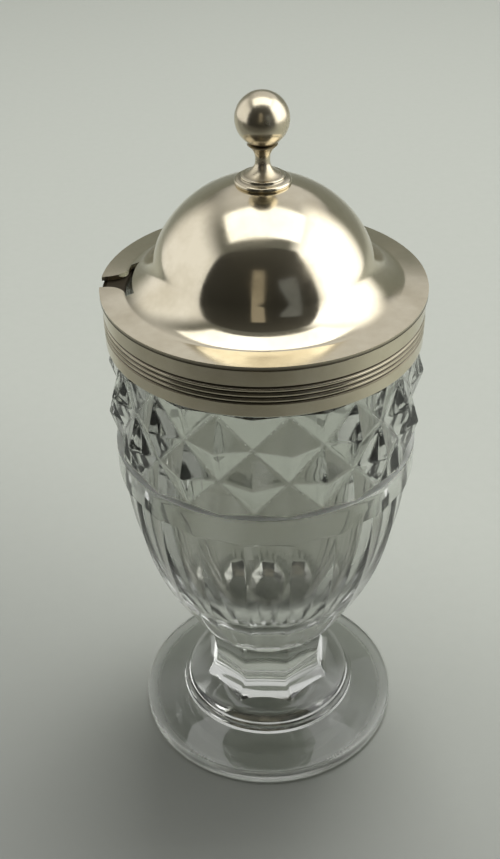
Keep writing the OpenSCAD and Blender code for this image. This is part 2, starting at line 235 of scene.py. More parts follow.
@dataclass(frozen=True)
class GlassFinish:
    """Lead crystal, mould-blown, then cut on the wheel and polished.

    The eye sees clear glass with a breath of grey-green, faint waves left by the cutter's
    wheel, a frosted line where the foot has slid on tables and a grey residue in the hollow.
    """

    name: str = "lead_crystal"
    tint: str = "#e4e6e1"
    residue: str = "#9d9b92"
    shade: str = "#8f928d"
    foot_shade: str = "#8e908c"
    foot_low: float = 6.0
    foot_high: float = 12.0
    index: float = 1.54
    clearness: float = 0.97
    clouded: float = 0.4
    clouds_from: float = 0.3
    polished: float = 0.03
    ground: float = 0.9
    wave_mm: float = 5.0
    wave_relief: tuple[float, float] = (0.25, 0.12)
    speck_mm: float = 0.4
    speck_span: tuple[float, ...] = (0.3, 0.7, 0.46, 0.54)

    def material(self) -> Material:
        """Build the node tree: waves drive the bump, specks and wear drive the roughness."""
        recipe = Recipe(bpy.data.materials.new(self.name))
        wear = recipe.mark("wear")
        patchy = recipe.span(recipe.noise(self.speck_mm, 3.0), *self.speck_span)
        scuffed = recipe.maths("MULTIPLY", wear, patchy)
        glass = recipe.shader({
            "Base Color": recipe.blend(recipe.mark("stain"), self.tint, self.residue),
            "IOR": self.index,
            "Transmission Weight": recipe.span(wear, self.clouds_from, 1.0,
                                               self.clearness, self.clouded),
            "Roughness": recipe.span(scuffed, 0.0, 1.0, self.polished, self.ground),
            "Normal": recipe.bump(recipe.noise(self.wave_mm, 2.0), *self.wave_relief)})
        low = recipe.span(recipe.place("Z"), self.foot_low * MM, self.foot_high * MM)
        passed = recipe.blend(low, self.foot_shade, self.shade)
        shadow = recipe.add_node("LightPath", "Is Shadow Ray", {})
        return recipe.finish(recipe.see_through(shadow, glass, None, passed))


@dataclass(frozen=True)
class PlasterFinish:
    """Plaster of Paris, poured wet between neck and collar and left rough.

    The eye sees a chalky, faintly yellowed white with fine grit and pinholes.
    """

    name: str = "plaster_of_paris"
    chalk: str = "#e6dfcf"
    stain: str = "#bfae8f"
    grit_mm: float = 0.5
    grit_relief: tuple[float, float] = (0.5, 0.1)
    rough: float = 0.9

    def material(self) -> Material:
        """Build the node tree: one grit noise drives stain and bump."""
        recipe = Recipe(bpy.data.materials.new(self.name))
        grit = recipe.noise(self.grit_mm, 5.0)
        return recipe.finish(recipe.shader({
            "Base Color": recipe.blend(grit, self.chalk, self.stain), "Roughness": self.rough,
            "Normal": recipe.bump(grit, *self.grit_relief)}))


Coat = tuple[Slot, Material]


class Finishes:
    """Every material of the pot, made once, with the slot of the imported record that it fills."""

    def __init__(self) -> None:
        """Make the six materials."""
        self.silver, self.turned, self.inner_silver, self.wire = (
            (slot, SilverFinish(*look).material()) for slot, *look in (
                (Slot.SILVER, "polished_silver", "#ddd4be", "#cdc3ab", "#2e271c", 0.07, 0.2),
                (Slot.SILVER, "turned_silver", "#d9cfb8", "#c6bba2", "#2e271c", 0.16, 0.34),
                (Slot.INNER_SILVER, "dull_inner_silver", "#cdc3ae", "#b5a88e", "#2a241a",
                 0.22, 0.4),
                (Slot.HINGE_WIRE, "drawn_silver_wire", "#b9b0a0", "#a2978a", "#4b4031",
                 0.25, 0.4)))
        self.glass = (Slot.CUT_GLASS, GlassFinish().material())
        self.plaster = (Slot.PLASTER, PlasterFinish().material())


def arc(centre: tuple[float, float], radius: float, start: float, end: float,
        steps: int) -> Array:
    """Rows of radius and height: a centre plus a radius turned evenly, in degrees."""
    turn = np.radians(np.linspace(start, end, steps + 1))
    return np.stack([centre[0] + radius * np.cos(turn), centre[1] + radius * np.sin(turn)], axis=1)


def bell(off: Array, width: float, power: int = 2) -> Array:
    """A bell curve: e to minus a power of the distance over the width."""
    return np.exp(-(off / width) ** power)


def reach(points: Array) -> Array:
    """Distances from the axis of points in rows of x, y and z."""
    return np.hypot(points[:, 0], points[:, 1])


def grid_faces(rows: int, columns: int, closed: bool) -> Array:
    """Quads of a grid of points stored row by row.

    Args:
        rows: Rows of points.
        columns: Points in each row.
        closed: Whether the last column joins the first.

    Returns:
        Four point numbers for each quad.
    """
    row, column = np.meshgrid(np.arange(rows - 1), np.arange(columns if closed else columns - 1),
                              indexing="ij")
    after = (column + 1) % columns
    quads = [row * columns + column, row * columns + after,
             (row + 1) * columns + after, (row + 1) * columns + column]
    return np.stack(quads, axis=-1).reshape(-1, 4)


def linked(name: str, data: bpy.types.ID) -> Thing:
    """Make an object and link it to the scene.

    Args:
        name: Name of the object.
        data: Its mesh, lamp or lens.

    Returns:
        The object.
    """
    thing = bpy.data.objects.new(name, data)
    bpy.context.collection.objects.link(thing)
    return thing


def smoothed(mesh: bpy.types.Mesh, work: bmesh.types.BMesh, sharp: float) -> Thing:
    """Make a piece of a working mesh, with smooth faces and sharp corners.

    Args:
        mesh: Takes the faces, and gives the piece its name.
        work: The working mesh, which is let go.
        sharp: Corners past this many degrees stay sharp.

    Returns:
        The piece.
    """
    work.to_mesh(mesh)
    work.free()
    mesh.shade_smooth()
    mesh.set_sharp_from_angle(angle=math.radians(sharp))
    return linked(mesh.name, mesh)


class Shell:
    """A surface gathered from patches whose borders lie on each other."""

    WELD = 0.0005 * MM

    def __init__(self) -> None:
        """Start with no patches."""
        self.points: list[Array] = []
        self.faces: list[Array] = []
        self.count = 0

    def add(self, points: Array, faces: Array) -> None:
        """Add one patch.

        Args:
            points: Points as rows of x, y and z in millimetres.
            faces: Point numbers within the patch.
        """
        self.points.append(points)
        self.faces.append(faces + self.count)
        self.count += len(points)

    def turned(self, radius: Array, height: Array, angle: Array, closed: bool = True) -> Array:
        """Add a grid about the axis: x is radius times cosine, y is radius times sine.

        Args:
            radius: Radii, one row for each ring, or one number for each ring.
            height: Heights in the same layout.
            angle: Angles of the columns in radians, or of every point.
            closed: Whether the last column joins the first.

        Returns:
            The points, ring by ring.
        """
        radius, height, angle = np.broadcast_arrays(radius, height, angle)
        points = np.stack([radius * np.cos(angle), radius * np.sin(angle), height], axis=-1)
        self.add(points.reshape(-1, 3), grid_faces(*radius.shape, closed))
        return points

    def spun(self, profile: Array, angle: Array) -> Array:
        """Carry a profile round the axis.

        Args:
            profile: Points as rows of radius and height.
            angle: Angles of the columns in radians, or their number for even ones.

        Returns:
            The points, ring by ring.
        """
        if np.ndim(angle) == 0:
            angle = np.linspace(0.0, TURN, angle, endpoint=False)
        return self.turned(profile[:, :1], profile[:, 1:], angle)

    def stitch(self, ring: Array, other: Array) -> None:
        """Join two closed rings that have different numbers of points.

        Going round by angle, each point that is passed makes a triangle with the point before
        it on its own ring and the last point that was passed on the other.

        Args:
            ring: Points of one ring.
            other: Points of the other.
        """
        rings = [part[np.argsort(np.arctan2(part[:, 1], part[:, 0]))] for part in (ring, other)]
        points = np.concatenate(rings)
        order = np.argsort(np.arctan2(points[:, 1], points[:, 0]), kind="stable")
        first, second = len(ring), len(other)
        on_first = order < first
        passed_first = (np.cumsum(on_first) - 1) % first
        passed_second = (np.cumsum(~on_first) - 1) % second + first
        before = np.where(on_first, (order - 1) % first, (order - first - 1) % second + first)
        across = np.where(on_first, passed_second, passed_first)
        self.add(points, np.stack([before, order, across], axis=1))

    def wall(self, line: Array, other: Array) -> None:
        """Add a strip of quads between two lines that have the same number of points."""
        self.add(np.concatenate([line, other]), grid_faces(2, len(line), False))

    def made(self, name: str, sharp: float, closed: bool = True) -> Thing:
        """Turn the patches into one piece.

        Args:
            name: Name of the piece.
            sharp: Corners past this many degrees stay sharp.
            closed: Whether the surface is a closed solid, whose faces are turned outwards.

        Returns:
            The piece.
        """
        mesh = bpy.data.meshes.new(name)
        faces = [face for patch in self.faces for face in patch.tolist()]
        mesh.from_pydata((np.concatenate(self.points) * MM).tolist(), [], faces)
        work = bmesh.new()
        work.from_mesh(mesh)
        bmesh.ops.remove_doubles(work, verts=work.verts, dist=self.WELD)
        if closed:
            bmesh.ops.recalc_face_normals(work, faces=work.faces)
        return smoothed(mesh, work, sharp)


def lathe(name: str, profile: Array, columns: int, sharp: float, ring: bool = True) -> Thing:
    """Make a turned piece.

    Args:
        name: Name of the piece.
        profile: Points as rows of radius and height.
        columns: Steps round the axis.
        sharp: Corners past this many degrees stay sharp.
        ring: Whether the profile's end joins its start, as on a ring.

    Returns:
        The piece.
    """
    shell = Shell()
    shell.spun(np.concatenate([profile, profile[:1]]) if ring else profile, columns)
    return shell.made(name, sharp)


def mark(piece: Thing, name: str, rule: Rule) -> None:
    """Store a number from 0 to 1 on every point, for a finish to read.

    Args:
        piece: Object whose points are marked.
        name: Name of the attribute.
        rule: Gives the numbers for points as rows of x, y and z in millimetres.
    """
    mesh = piece.data
    place = np.empty(3 * len(mesh.vertices))
    mesh.vertices.foreach_get("co", place)
    values = np.clip(rule(place.reshape(-1, 3) / MM), 0.0, 1.0).astype(np.float32)
    mesh.attributes.new(name, "FLOAT", "POINT").data.foreach_set("value", values)


def dress(piece: Thing, body: Body, coat: Coat, node: str, tarnish_and_shade: Rule | None = None) -> None:
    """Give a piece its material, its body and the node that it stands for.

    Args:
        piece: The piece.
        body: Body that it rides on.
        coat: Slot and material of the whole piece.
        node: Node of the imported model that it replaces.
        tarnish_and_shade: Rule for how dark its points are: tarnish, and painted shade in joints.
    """
    # Stores tarnish and painted shade as one mark for the silver finish.
    if tarnish_and_shade:
        mark(piece, "tarnish_and_shade", tarnish_and_shade)
    slot, material = coat
    piece.data.materials.clear()
    piece.data.materials.append(material)
    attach(piece, body.value)
    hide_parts(node)
    LOG.info("%s: %d points, rides on %s", piece.name, len(piece.data.vertices), body.value)


def soften(piece: Thing, width: float, segments: int = 2) -> None:
    """Round the hard edges of a piece with a bevel.

    Args:
        piece: The piece.
        width: Width of the bevel in millimetres.
        segments: Steps across the bevel.
    """
    bevel = piece.modifiers.new("worn_edges", "BEVEL")
    bevel.width = width * MM
    bevel.segments = segments
    bevel.limit_method = "ANGLE"
    bevel.angle_limit = math.radians(45.0)


def dress_copy(node: str, width: float, body: Body, coat: Coat, name: str = "") -> None:
    """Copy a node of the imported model, merge its flat faces, round its edges and dress it.

    Args:
        node: Name of the node.
        width: Width of the rounded edges in millimetres.
        body: Body that the copy rides on.
        coat: Its slot and material.
        name: Name of the piece, if not the node's own with a word added.
    """
    mesh = bpy.data.meshes.new(name or f"{node}_eased")
    work = bmesh.new()
    work.from_mesh(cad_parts[node].data)
    bmesh.ops.remove_doubles(work, verts=work.verts, dist=0.001 * MM)
    bmesh.ops.dissolve_limit(work, angle_limit=math.radians(0.5), verts=work.verts,
                             edges=work.edges)
    piece = smoothed(mesh, work, 30.0)
    soften(piece, width)
    dress(piece, body, coat, node)


def meeting_height(low: Array, high: Array, gap: Rule) -> Array:
    """Heights where a gap closes, found by halving the interval for every column at once.

    Args:
        low: Heights where the gap is open.
        high: Heights where it is closed.
        gap: Gives the gap at the heights.

    Returns:
        The heights between.
    """
    for _ in range(40):
        middle = 0.5 * (low + high)
        is_open = gap(middle) > 0.0
        low, high = np.where(is_open, middle, low), np.where(is_open, high, middle)
    return low


@dataclass(frozen=True)
class Facets:
    """A many-sided section: its sides, the angle of one side's middle, and eased corners.

    The turn is in degrees. The ease is the angle over which a corner is eased, in radians.
    """

    sides: int
    turn: float
    ease: float

    @property
    def half(self) -> float:
        """Half the angle of one side, in radians."""
        return math.pi / self.sides

    def off(self, angle: Array) -> Array:
        """Angles from the middle of the nearest side, up to half a side both ways."""
        return (angle - math.radians(self.turn) + self.half) % (2.0 * self.half) - self.half

    def radius(self, apothem: Array, angle: Array) -> Array:
        """Radius of the section: half its width over the cosine of the angle to a side's middle.

        The last of each side before a corner is taken down by a parabola, so the corner is eased.

        Args:
            apothem: Half the width across the sides.
            angle: Angles in radians.

        Returns:
            Radii in the shape that apothem and angle give together.
        """
        off = np.abs(self.off(angle))
        near = np.clip((off - self.half + self.ease) / self.ease, 0.0, 1.0)
        slope = math.tan(self.half) / math.cos(self.half)
        return apothem * (1.0 / np.cos(off) - 0.5 * slope * self.ease * near ** 2)

    def columns(self, inner: int) -> Array:
        """Angles of the columns round the section, with close ones at the corners.

        Args:
            inner: Columns between the eased parts of one side.

        Returns:
            Angles in rising order, from 0 to a full turn.
        """
        half, ease = self.half, self.ease
        flat = np.linspace(ease - half, half - ease, inner)
        local = np.concatenate([[-half, 0.5 * ease - half], flat, [half - 0.5 * ease]])
        middles = math.radians(self.turn) + np.arange(self.sides) * 2.0 * half
        return np.sort((middles[:, None] + local).ravel() % TURN)


@dataclass
class GlassBody:
    """The pot itself: one piece of cut glass from the foot to the neck."""

    foot_r: float = 24.3
    foot_edge_h: float = 3.2
    foot_round: float = 1.1
    foot_top: float = 5.2
    rest_r: float = 23.0
    pad_r: float = 16.6
    pad_round: float = 0.9
    pad_top: float = 6.5
    pad_rise: float = 4.6
    stem: Facets = Facets(8, -3.0, 0.03)
    stem_columns: int = 19
    waist_z: float = 14.3
    waist_r: float = 9.6
    bead_h: float = 0.1
    bead_w: float = 0.16
    throat_r: float = 10.6
    stem_hollow_r: float = 6.8
    bowl_z: float = 22.1
    bowl_foot_r: float = 11.77
    bowl_base_r: float = 12.0
    bowl_r: float = 24.3
    flutes: Facets = Facets(20, FRONT + 0.4, 0.012)
    flute_columns: int = 12
    flute_hollow: float = 0.012
    band_z: float = 59.5
    band_r: float = 25.5
    diamond_z: float = 64.7
    diamond_h: float = 6.2
    diamond_rows: int = 3
    diamonds: int = 14
    diamond_turn: float = FRONT - 4.6
    diamond_steps: int = 22
    ridge_half: float = 0.045
    groove_half: float = 0.092
    groove_r: float = 24.5
    groove_matt: float = 0.55
    point_r: float = 26.3
    edge_point_r: float = 25.3
    neck_r: float = 24.4
    mouth_r: float = 22.0
    collar_z: float = 84.2
    lip_z: float = 91.18
    lip_round: float = 0.4
    cavity_r: float = 21.3
    cavity_floor: float = 29.1
    hollow_columns: int = 160
    fullness: float = 2.3
    stain_top: float = 51.0
    stain_fade: float = 9.0
    stain_matt: float = 0.3
    shell: Shell = field(default_factory=Shell)

    def foot_and_stem(self) -> Array:
        """Foot, pad and stem, each a grid that shares the stem's columns.

        The foot is a turned profile. The pad's top is a quarter ellipse up to the height where
        each column meets the stem, whose section flares out below the waist along a circle and
        widens evenly above it. A fine bead marks the waist.

        Returns:
            The stem's top ring.
        """
        angle = self.stem.columns(self.stem_columns)
        edge_x = self.foot_r - self.foot_round
        pad_x = self.pad_r - self.pad_round
        profile = np.concatenate([
            [[0.0, 0.0], [10.0, 0.0], [20.0, 0.0]],
            arc((edge_x, self.foot_round), self.foot_round, -90, 0, 8),
            arc((edge_x, self.foot_edge_h - self.foot_round), self.foot_round, 0, 75, 8),
            [[20.0, 4.2], [self.pad_r + 0.25, self.foot_top - 0.02],
             [self.pad_r + 0.05, self.foot_top + 0.06], [self.pad_r, self.foot_top + 0.25]],
            arc((pad_x, self.pad_top - self.pad_round), self.pad_round, 0, 80, 8)])
        self.shell.spun(profile, angle)

        def apothem(z: Array) -> Array:
            """Half the stem's width: a hollow circle below the waist, a straight taper above."""
            drop = np.clip(self.waist_z - z, 0.0, self.stem_hollow_r)
            hollow = self.stem_hollow_r - np.sqrt(self.stem_hollow_r ** 2 - drop ** 2)
            rise = np.clip((z - self.waist_z) / (self.bowl_z - self.waist_z), 0.0, 1.0)
            bead = self.bead_h * bell(z - self.waist_z, self.bead_w)
            return self.waist_r + hollow + rise * (self.throat_r - self.waist_r) + bead

        def stem_radius(z: Array) -> Array:
            """Radius of the stem at a height, column by column."""
            return self.stem.radius(apothem(z), angle)

        def pad_radius(z: Array) -> Array:
            """Radius of the pad's rounded top at a height."""
            share = np.clip((z - self.pad_top) / self.pad_rise, 0.0, 1.0)
            return pad_x * np.sqrt(1.0 - share ** 2)

        base = np.full_like(angle, self.waist_z - self.stem_hollow_r + 0.01)
        foot_z = meeting_height(base, np.full_like(angle, self.pad_top + self.pad_rise),
                                lambda z: pad_radius(z) - stem_radius(z))
        climb = (np.linspace(0.0, 1.0, 14)[:, None]
                 * np.arcsin((foot_z - self.pad_top) / self.pad_rise))
        dome_r, dome_z = pad_x * np.cos(climb), self.pad_top + self.pad_rise * np.sin(climb)
        dome_r[0], dome_z[0] = profile[-1]
        self.shell.turned(dome_r, dome_z, angle)
        share = np.sin(np.linspace(0.0, 0.5 * math.pi, 18))[:-1, None]
        lower = foot_z + share * (self.waist_z - 0.45 - foot_z)
        bead = self.waist_z + np.linspace(-0.4, 0.4, 11)[:, None] + 0.0 * angle
        upper = np.linspace(self.waist_z + 0.9, self.bowl_z, 5)[:, None] + 0.0 * angle
        height = np.concatenate([lower, bead, upper])
        return self.shell.turned(stem_radius(height), height, angle)[-1]

    def bowl(self, stem_top: Array) -> Array:
        """Bowl and plain band: a cone, the flutes, the slope that ends them and the band.

        Seen from the side the flutes follow a circle that is upright at the band. Each column's
        radius is that width over the cosine of the angle to its flute's middle, less a shallow
        parabola where the wheel hollowed the flute, from the cone up to the slope.

        Args:
            stem_top: The stem's top ring.

        Returns:
            The band's top ring.
        """
        angle = self.flutes.columns(self.flute_columns)
        off = self.flutes.off(angle) / self.flutes.half
        unit = self.flutes.radius(1.0, angle) - self.flute_hollow * (1.0 - off ** 2)
        spread = self.bowl_r - self.bowl_base_r
        rise = self.band_z - self.bowl_z
        belly = (rise ** 2 + spread ** 2) / (2.0 * spread)

        def panel(z: Array) -> Array:
            """Half the width across the flutes at a height."""
            return self.bowl_r - belly + np.sqrt(belly ** 2 - (self.band_z - z) ** 2)

        start = np.full_like(angle, self.bowl_z)
        cone_top = meeting_height(
            start, start + 6.0, lambda z: unit * panel(z) - self.bowl_foot_r - (z - self.bowl_z))
        exit_z = self.band_z - (self.band_r - self.bowl_r)
        slope_foot = meeting_height(
            start + rise - 4.0, start + rise, lambda z: panel(z) - self.bowl_r - (z - exit_z))
        slope_top = exit_z + self.band_r / unit - self.bowl_r
        cone = np.linspace(start, cone_top, 4)
        flute = np.linspace(cone_top, slope_foot, 40)
        slope = np.linspace(slope_foot, slope_top, 5)
        ground = self.shell.turned(self.bowl_foot_r + cone - self.bowl_z, cone, angle)
        self.shell.turned(unit * panel(flute), flute, angle)
        self.shell.turned(unit * (self.bowl_r + slope - exit_z), slope, angle)
        edge = np.array([[0.0, -1.2], [0.0, -0.3], [0.03, -0.16], [0.1, -0.06], [0.22, 0.0]])
        wall = np.concatenate([slope_top[None, :], self.diamond_z + edge[:, 1:] + 0.0 * angle])
        inward = np.concatenate([[[0.0]], edge[:, :1]])
        band = self.shell.turned(self.band_r - inward, wall, angle)
        self.shell.stitch(stem_top, ground[0])
        return band[-1]

    def diamond_band(self, band_top: Array) -> Array:
        """Relief diamonds: flat facets between points that stand out and grooves that cross.

        The corners of a grid of cells lie by turns at a point's radius and at a groove's. Each
        cell is folded along the diagonal between its two groove corners, and its two halves are
        flat. Near a cell's sides the facets are taken down by a parabola, which eases the ridges,
        and by the fold they are filled up by one, which rounds the bottom of the groove.

        Args:
            band_top: The plain band's top ring.

        Returns:
            The top ring.
        """
        around, ease = 2 * self.diamonds, self.ridge_half
        local = np.linspace(0.0, 1.0, self.diamond_steps, endpoint=False)
        across = (np.arange(around)[:, None] + local).ravel()
        up = np.append((np.arange(self.diamond_rows)[:, None] + local).ravel(), self.diamond_rows)
        step = np.floor(across).astype(int)
        row = np.minimum(np.floor(up).astype(int), self.diamond_rows - 1)
        u, step = (across - step)[None, :, None], step[None, :, None]
        v, row = (up - row)[:, None, None], row[:, None, None]

        def corner(s: Array, r: Array) -> Array:
            """Place of a grid corner, by its step round the band and its row up it."""
            edge = (r == 0) | (r == self.diamond_rows)
            radius = np.where((s + r) % 2 == 0, self.groove_r,
                              np.where(edge, self.edge_point_r, self.point_r))
            angle = math.radians(self.diamond_turn) + s * TURN / around
            parts = [radius * np.cos(angle), radius * np.sin(angle),
                     self.diamond_z + r * self.diamond_h]
            return np.concatenate(np.broadcast_arrays(*parts), axis=-1)

        a, b = corner(step, row), corner(step + 1, row)
        c, d = corner(step + 1, row + 1), corner(step, row + 1)
        even_fold = np.where(u > v, a + u * (b - a) + v * (c - b), a + v * (d - a) + u * (c - d))
        odd_fold = np.where(u + v < 1.0, a + u * (b - a) + v * (d - a),
                            c + (1.0 - u) * (d - c) + (1.0 - v) * (b - c))
        even = (step + row) % 2 == 0
        points = np.where(even, even_fold, odd_fold)
        radius = np.hypot(points[..., :1], points[..., 1:2])
        relief = self.point_r - self.groove_r
        inner = (row + v > 0.5 * ease) & (row + v < self.diamond_rows - 0.5 * ease)
        ridge_u = np.clip(ease - np.minimum(u, 1.0 - u), 0.0, None)
        ridge_v = np.where(inner, np.clip(ease - np.minimum(v, 1.0 - v), 0.0, None), 0.0)
        worn = relief * (ridge_u ** 2 + ridge_v ** 2) / (2.0 * ease)
        near = np.clip(self.groove_half - self.off_fold(u, v, even), 0.0, None)
        filled = relief * near ** 2 / (2.0 * self.groove_half)
        points = points * np.where(np.arange(3) < 2, 1.0 + (filled - worn) / radius, 1.0)
        quads = grid_faces(*points.shape[:2], True)
        halves = np.where(even[:, :, 0][:-1].reshape(-1, 1),
                          quads[:, [0, 1, 2, 0, 2, 3]], quads[:, [0, 1, 3, 1, 2, 3]])
        self.shell.add(points.reshape(-1, 3), halves.reshape(-1, 3))
        self.shell.stitch(band_top, points[0])
        return points[-1]

    def off_fold(self, u: Array, v: Array, even: Array) -> Array:
        """Distances from a cell's fold, the diagonal that rises to the right where it is even."""
        return np.where(even, np.abs(u - v), np.abs(u + v - 1.0))

    def neck_and_hollow(self, diamond_top: Array) -> None:
        """Neck, lip, mouth and the hollow inside, one turned profile.

        The hollow tapers behind the diamonds and closes as a full oval: radius and depth go with
        powers of the cosine and the sine of one angle.

        Args:
            diamond_top: The diamonds' top ring.
        """
        turn = np.radians(np.linspace(0.0, 90.0, 40))
        power = 2.0 / self.fullness
        depth = (self.band_z - self.cavity_floor) * np.sin(turn) ** power
        hollow = np.stack([self.cavity_r * np.maximum(np.cos(turn), 0.0) ** power,
                           self.band_z - depth], axis=1)
        shoulder_z = self.diamond_z + self.diamond_rows * self.diamond_h
        lip = self.lip_round
        mouth = [self.mouth_r, self.collar_z]
        profile = np.concatenate([
            [[self.neck_r, shoulder_z], [self.neck_r, self.collar_z]],
            arc((self.neck_r - lip, self.lip_z - lip), lip, 0, 90, 6),
            arc((self.mouth_r + lip, self.lip_z - lip), lip, 90, 180, 6),
            np.linspace(mouth, hollow[0], 6)[:-1],
            hollow])
        wall = self.shell.spun(profile, self.hollow_columns)
        self.shell.stitch(diamond_top, wall[0])

    def wear(self, points: Array) -> Array:
        """How matt the glass is: resting line, groove bottoms, the band's edge and the residue.

        Args:
            points: Points as rows of x, y and z.

        Returns:
            A number from 0 to 1 for each point.
        """
        radius, z = reach(points), points[:, 2]
        rest = bell(z, 0.5) * bell(radius - self.rest_r, 1.2)
        turn = np.arctan2(points[:, 1], points[:, 0]) - math.radians(self.diamond_turn)
        steps = turn * self.diamonds / math.pi
        rows = (z - self.diamond_z) / self.diamond_h
        even = (np.floor(steps) + np.floor(rows)) % 2 == 0
        off_fold = self.off_fold(steps % 1.0, rows % 1.0, even)
        cut = (rows > 0.0) & (rows < self.diamond_rows) & (radius > self.groove_r - 0.3)
        groove = np.where(cut, bell(off_fold, self.groove_half), 0.0)
        edge = bell(z - self.diamond_z, 0.2) * (radius > self.groove_r - 0.1)
        return np.max([rest, self.groove_matt * groove, edge,
                       self.stain_matt * self.stain(points)], axis=0)

    def stain(self, points: Array) -> Array:
        """How much grey residue clings to the glass: full at the hollow's bottom, none above.

        A point lies in the hollow when the power law of the oval, read backwards, says so.

        Args:
            points: Points as rows of x, y and z.

        Returns:
            A number from 0 to 1 for each point.
        """
        radius, z = reach(points), points[:, 2]
        depth = np.clip((self.band_z - z) / (self.band_z - self.cavity_floor), 0.0, 1.0)
        wide = self.cavity_r * (1.0 - depth ** self.fullness) ** (1.0 / self.fullness)
        in_hollow = (z > self.cavity_floor - 0.1) & (radius < wide + 0.1)
        return np.clip((self.stain_top - z) / self.stain_fade, 0.0, 1.0) * in_hollow

    def build(self, finishes: Finishes) -> None:
        """Make the glass as one closed piece and dress it.

        Args:
            finishes: The pot's materials.
        """
        self.neck_and_hollow(self.diamond_band(self.bowl(self.foot_and_stem())))
        piece = self.shell.made("cut_glass_body", 24.0)
        mark(piece, "wear", self.wear)
        mark(piece, "stain", self.stain)
        dress(piece, Body.POT, finishes.glass, "glass_body")


@dataclass
class Collar:
    """The silver mount on the neck: plaster bed, reeded band and the ring under the cover."""

    inner_r: float = 25.1
    outer_r: float = 25.7
    low: float = 84.2
    high: float = 92.1
    reeds: int = 4
    reed_base: float = 2.4
    reed_pitch: float = 0.87
    reed_r: float = 0.24
    reed_swell: float = 0.05
    edge: float = 0.12
    neck_r: float = 24.4
    mouth_r: float = 22.0
    seat_t: float = 0.9
    seat_round: float = 0.25
    film: float = 0.02

    def grooves(self) -> Array:
        """Heights of the grooves between the reeds."""
        return self.low + self.reed_base + self.reed_pitch * np.arange(self.reeds)

    def reeded_wall(self) -> Array:
        """Outer side of the band: half-round grooves, and between them reeds that swell a little.

        Returns:
            Points as rows of radius and height, from the lower edge to the upper.
        """
        z = np.linspace(self.low + self.edge, self.high - self.edge, 360)
        grooves = self.grooves()
        off = np.min(np.abs(z[:, None] - grooves), axis=1)
        cut = np.sqrt(np.clip(self.reed_r ** 2 - off ** 2, 0.0, None))
        share = np.clip((off - self.reed_r) / (0.5 * self.reed_pitch - self.reed_r), 0.0, 1.0)
        swell = np.where((z > grooves[0]) & (z < grooves[-1]), share, 0.0)
        radius = self.outer_r - cut + self.reed_swell * np.sin(0.5 * math.pi * swell)
        return np.stack([radius, z], axis=1)

    def build(self, finishes: Finishes) -> None:
        """Make the band, the plaster and the seat.

        Args:
            finishes: The pot's materials.
        """
        edge, corner = self.edge, self.seat_round
        band = np.concatenate([
            arc((self.outer_r - edge, self.low + edge), edge, -90, 0, 4)[:-1],
            self.reeded_wall(),
            arc((self.outer_r - edge, self.high - edge), edge, 0, 90, 4)[1:],
            [[self.inner_r, self.high], [self.inner_r, self.low]]])
        grooves = self.grooves()
        # Tarnish in the grooves between the reeds, and painted shade on the top edge under the
        # cover.
        dress(lathe("collar_band_reeded", band, 192, 50.0),
              Body.POT, finishes.silver, "collar_band", lambda p: (
                  bell(np.min(np.abs(p[:, 2:] - grooves), axis=1), self.reed_r, 4)
                  + (p[:, 2] > self.high - 0.05)))

        inner, outer = self.neck_r + self.film, self.inner_r - self.film
        seat_z = self.high - self.seat_t
        lip_z = seat_z - self.film
        bed = np.array([[inner, self.low], [outer, self.low + 0.1], [outer, lip_z],
                        [inner, lip_z]])
        dress(lathe("collar_plaster_bed", bed, 128, 40.0),
              Body.POT, finishes.plaster, "plaster_bed")

        seat = np.concatenate([
            [[outer, seat_z], [outer, self.high]],
            arc((self.mouth_r + corner, self.high - corner), corner, 90, 180, 5),
            [[self.mouth_r, seat_z]]])
        # A fifth of the dark brown everywhere, and painted shade near the spoon notch, where the
        # cover's shade falls.
        dress(lathe("collar_seat_ring", seat, 160, 40.0),
              Body.POT, finishes.inner_silver, "seat_ring",
              lambda p: 0.2 + 0.8 * bell(p[:, 0] + self.inner_r - 1.5, 4.0))


@dataclass
class Hinge:
    """The hinge at the back: two bearers, five knuckles and a wire pin."""

    worn: float = 0.12
    knuckle_worn: float = 0.1

    def build(self, finishes: Finishes) -> None:
        """Copy the small pieces with eased edges and dress them.

        Args:
            finishes: The pot's materials.
        """
        for node in ("collar_hinge_plate", "lid_hinge_plate", "collar_knuckle_left",
                     "collar_knuckle_middle", "collar_knuckle_right", "lid_knuckle_left",
                     "lid_knuckle_right"):
            width = self.worn if node.endswith("plate") else self.knuckle_worn
            body = Body.POT if node.startswith("collar") else Body.LID
            dress_copy(node, width, body, finishes.silver)
        dress_copy("hinge_pin", self.knuckle_worn, Body.POT, finishes.wire)


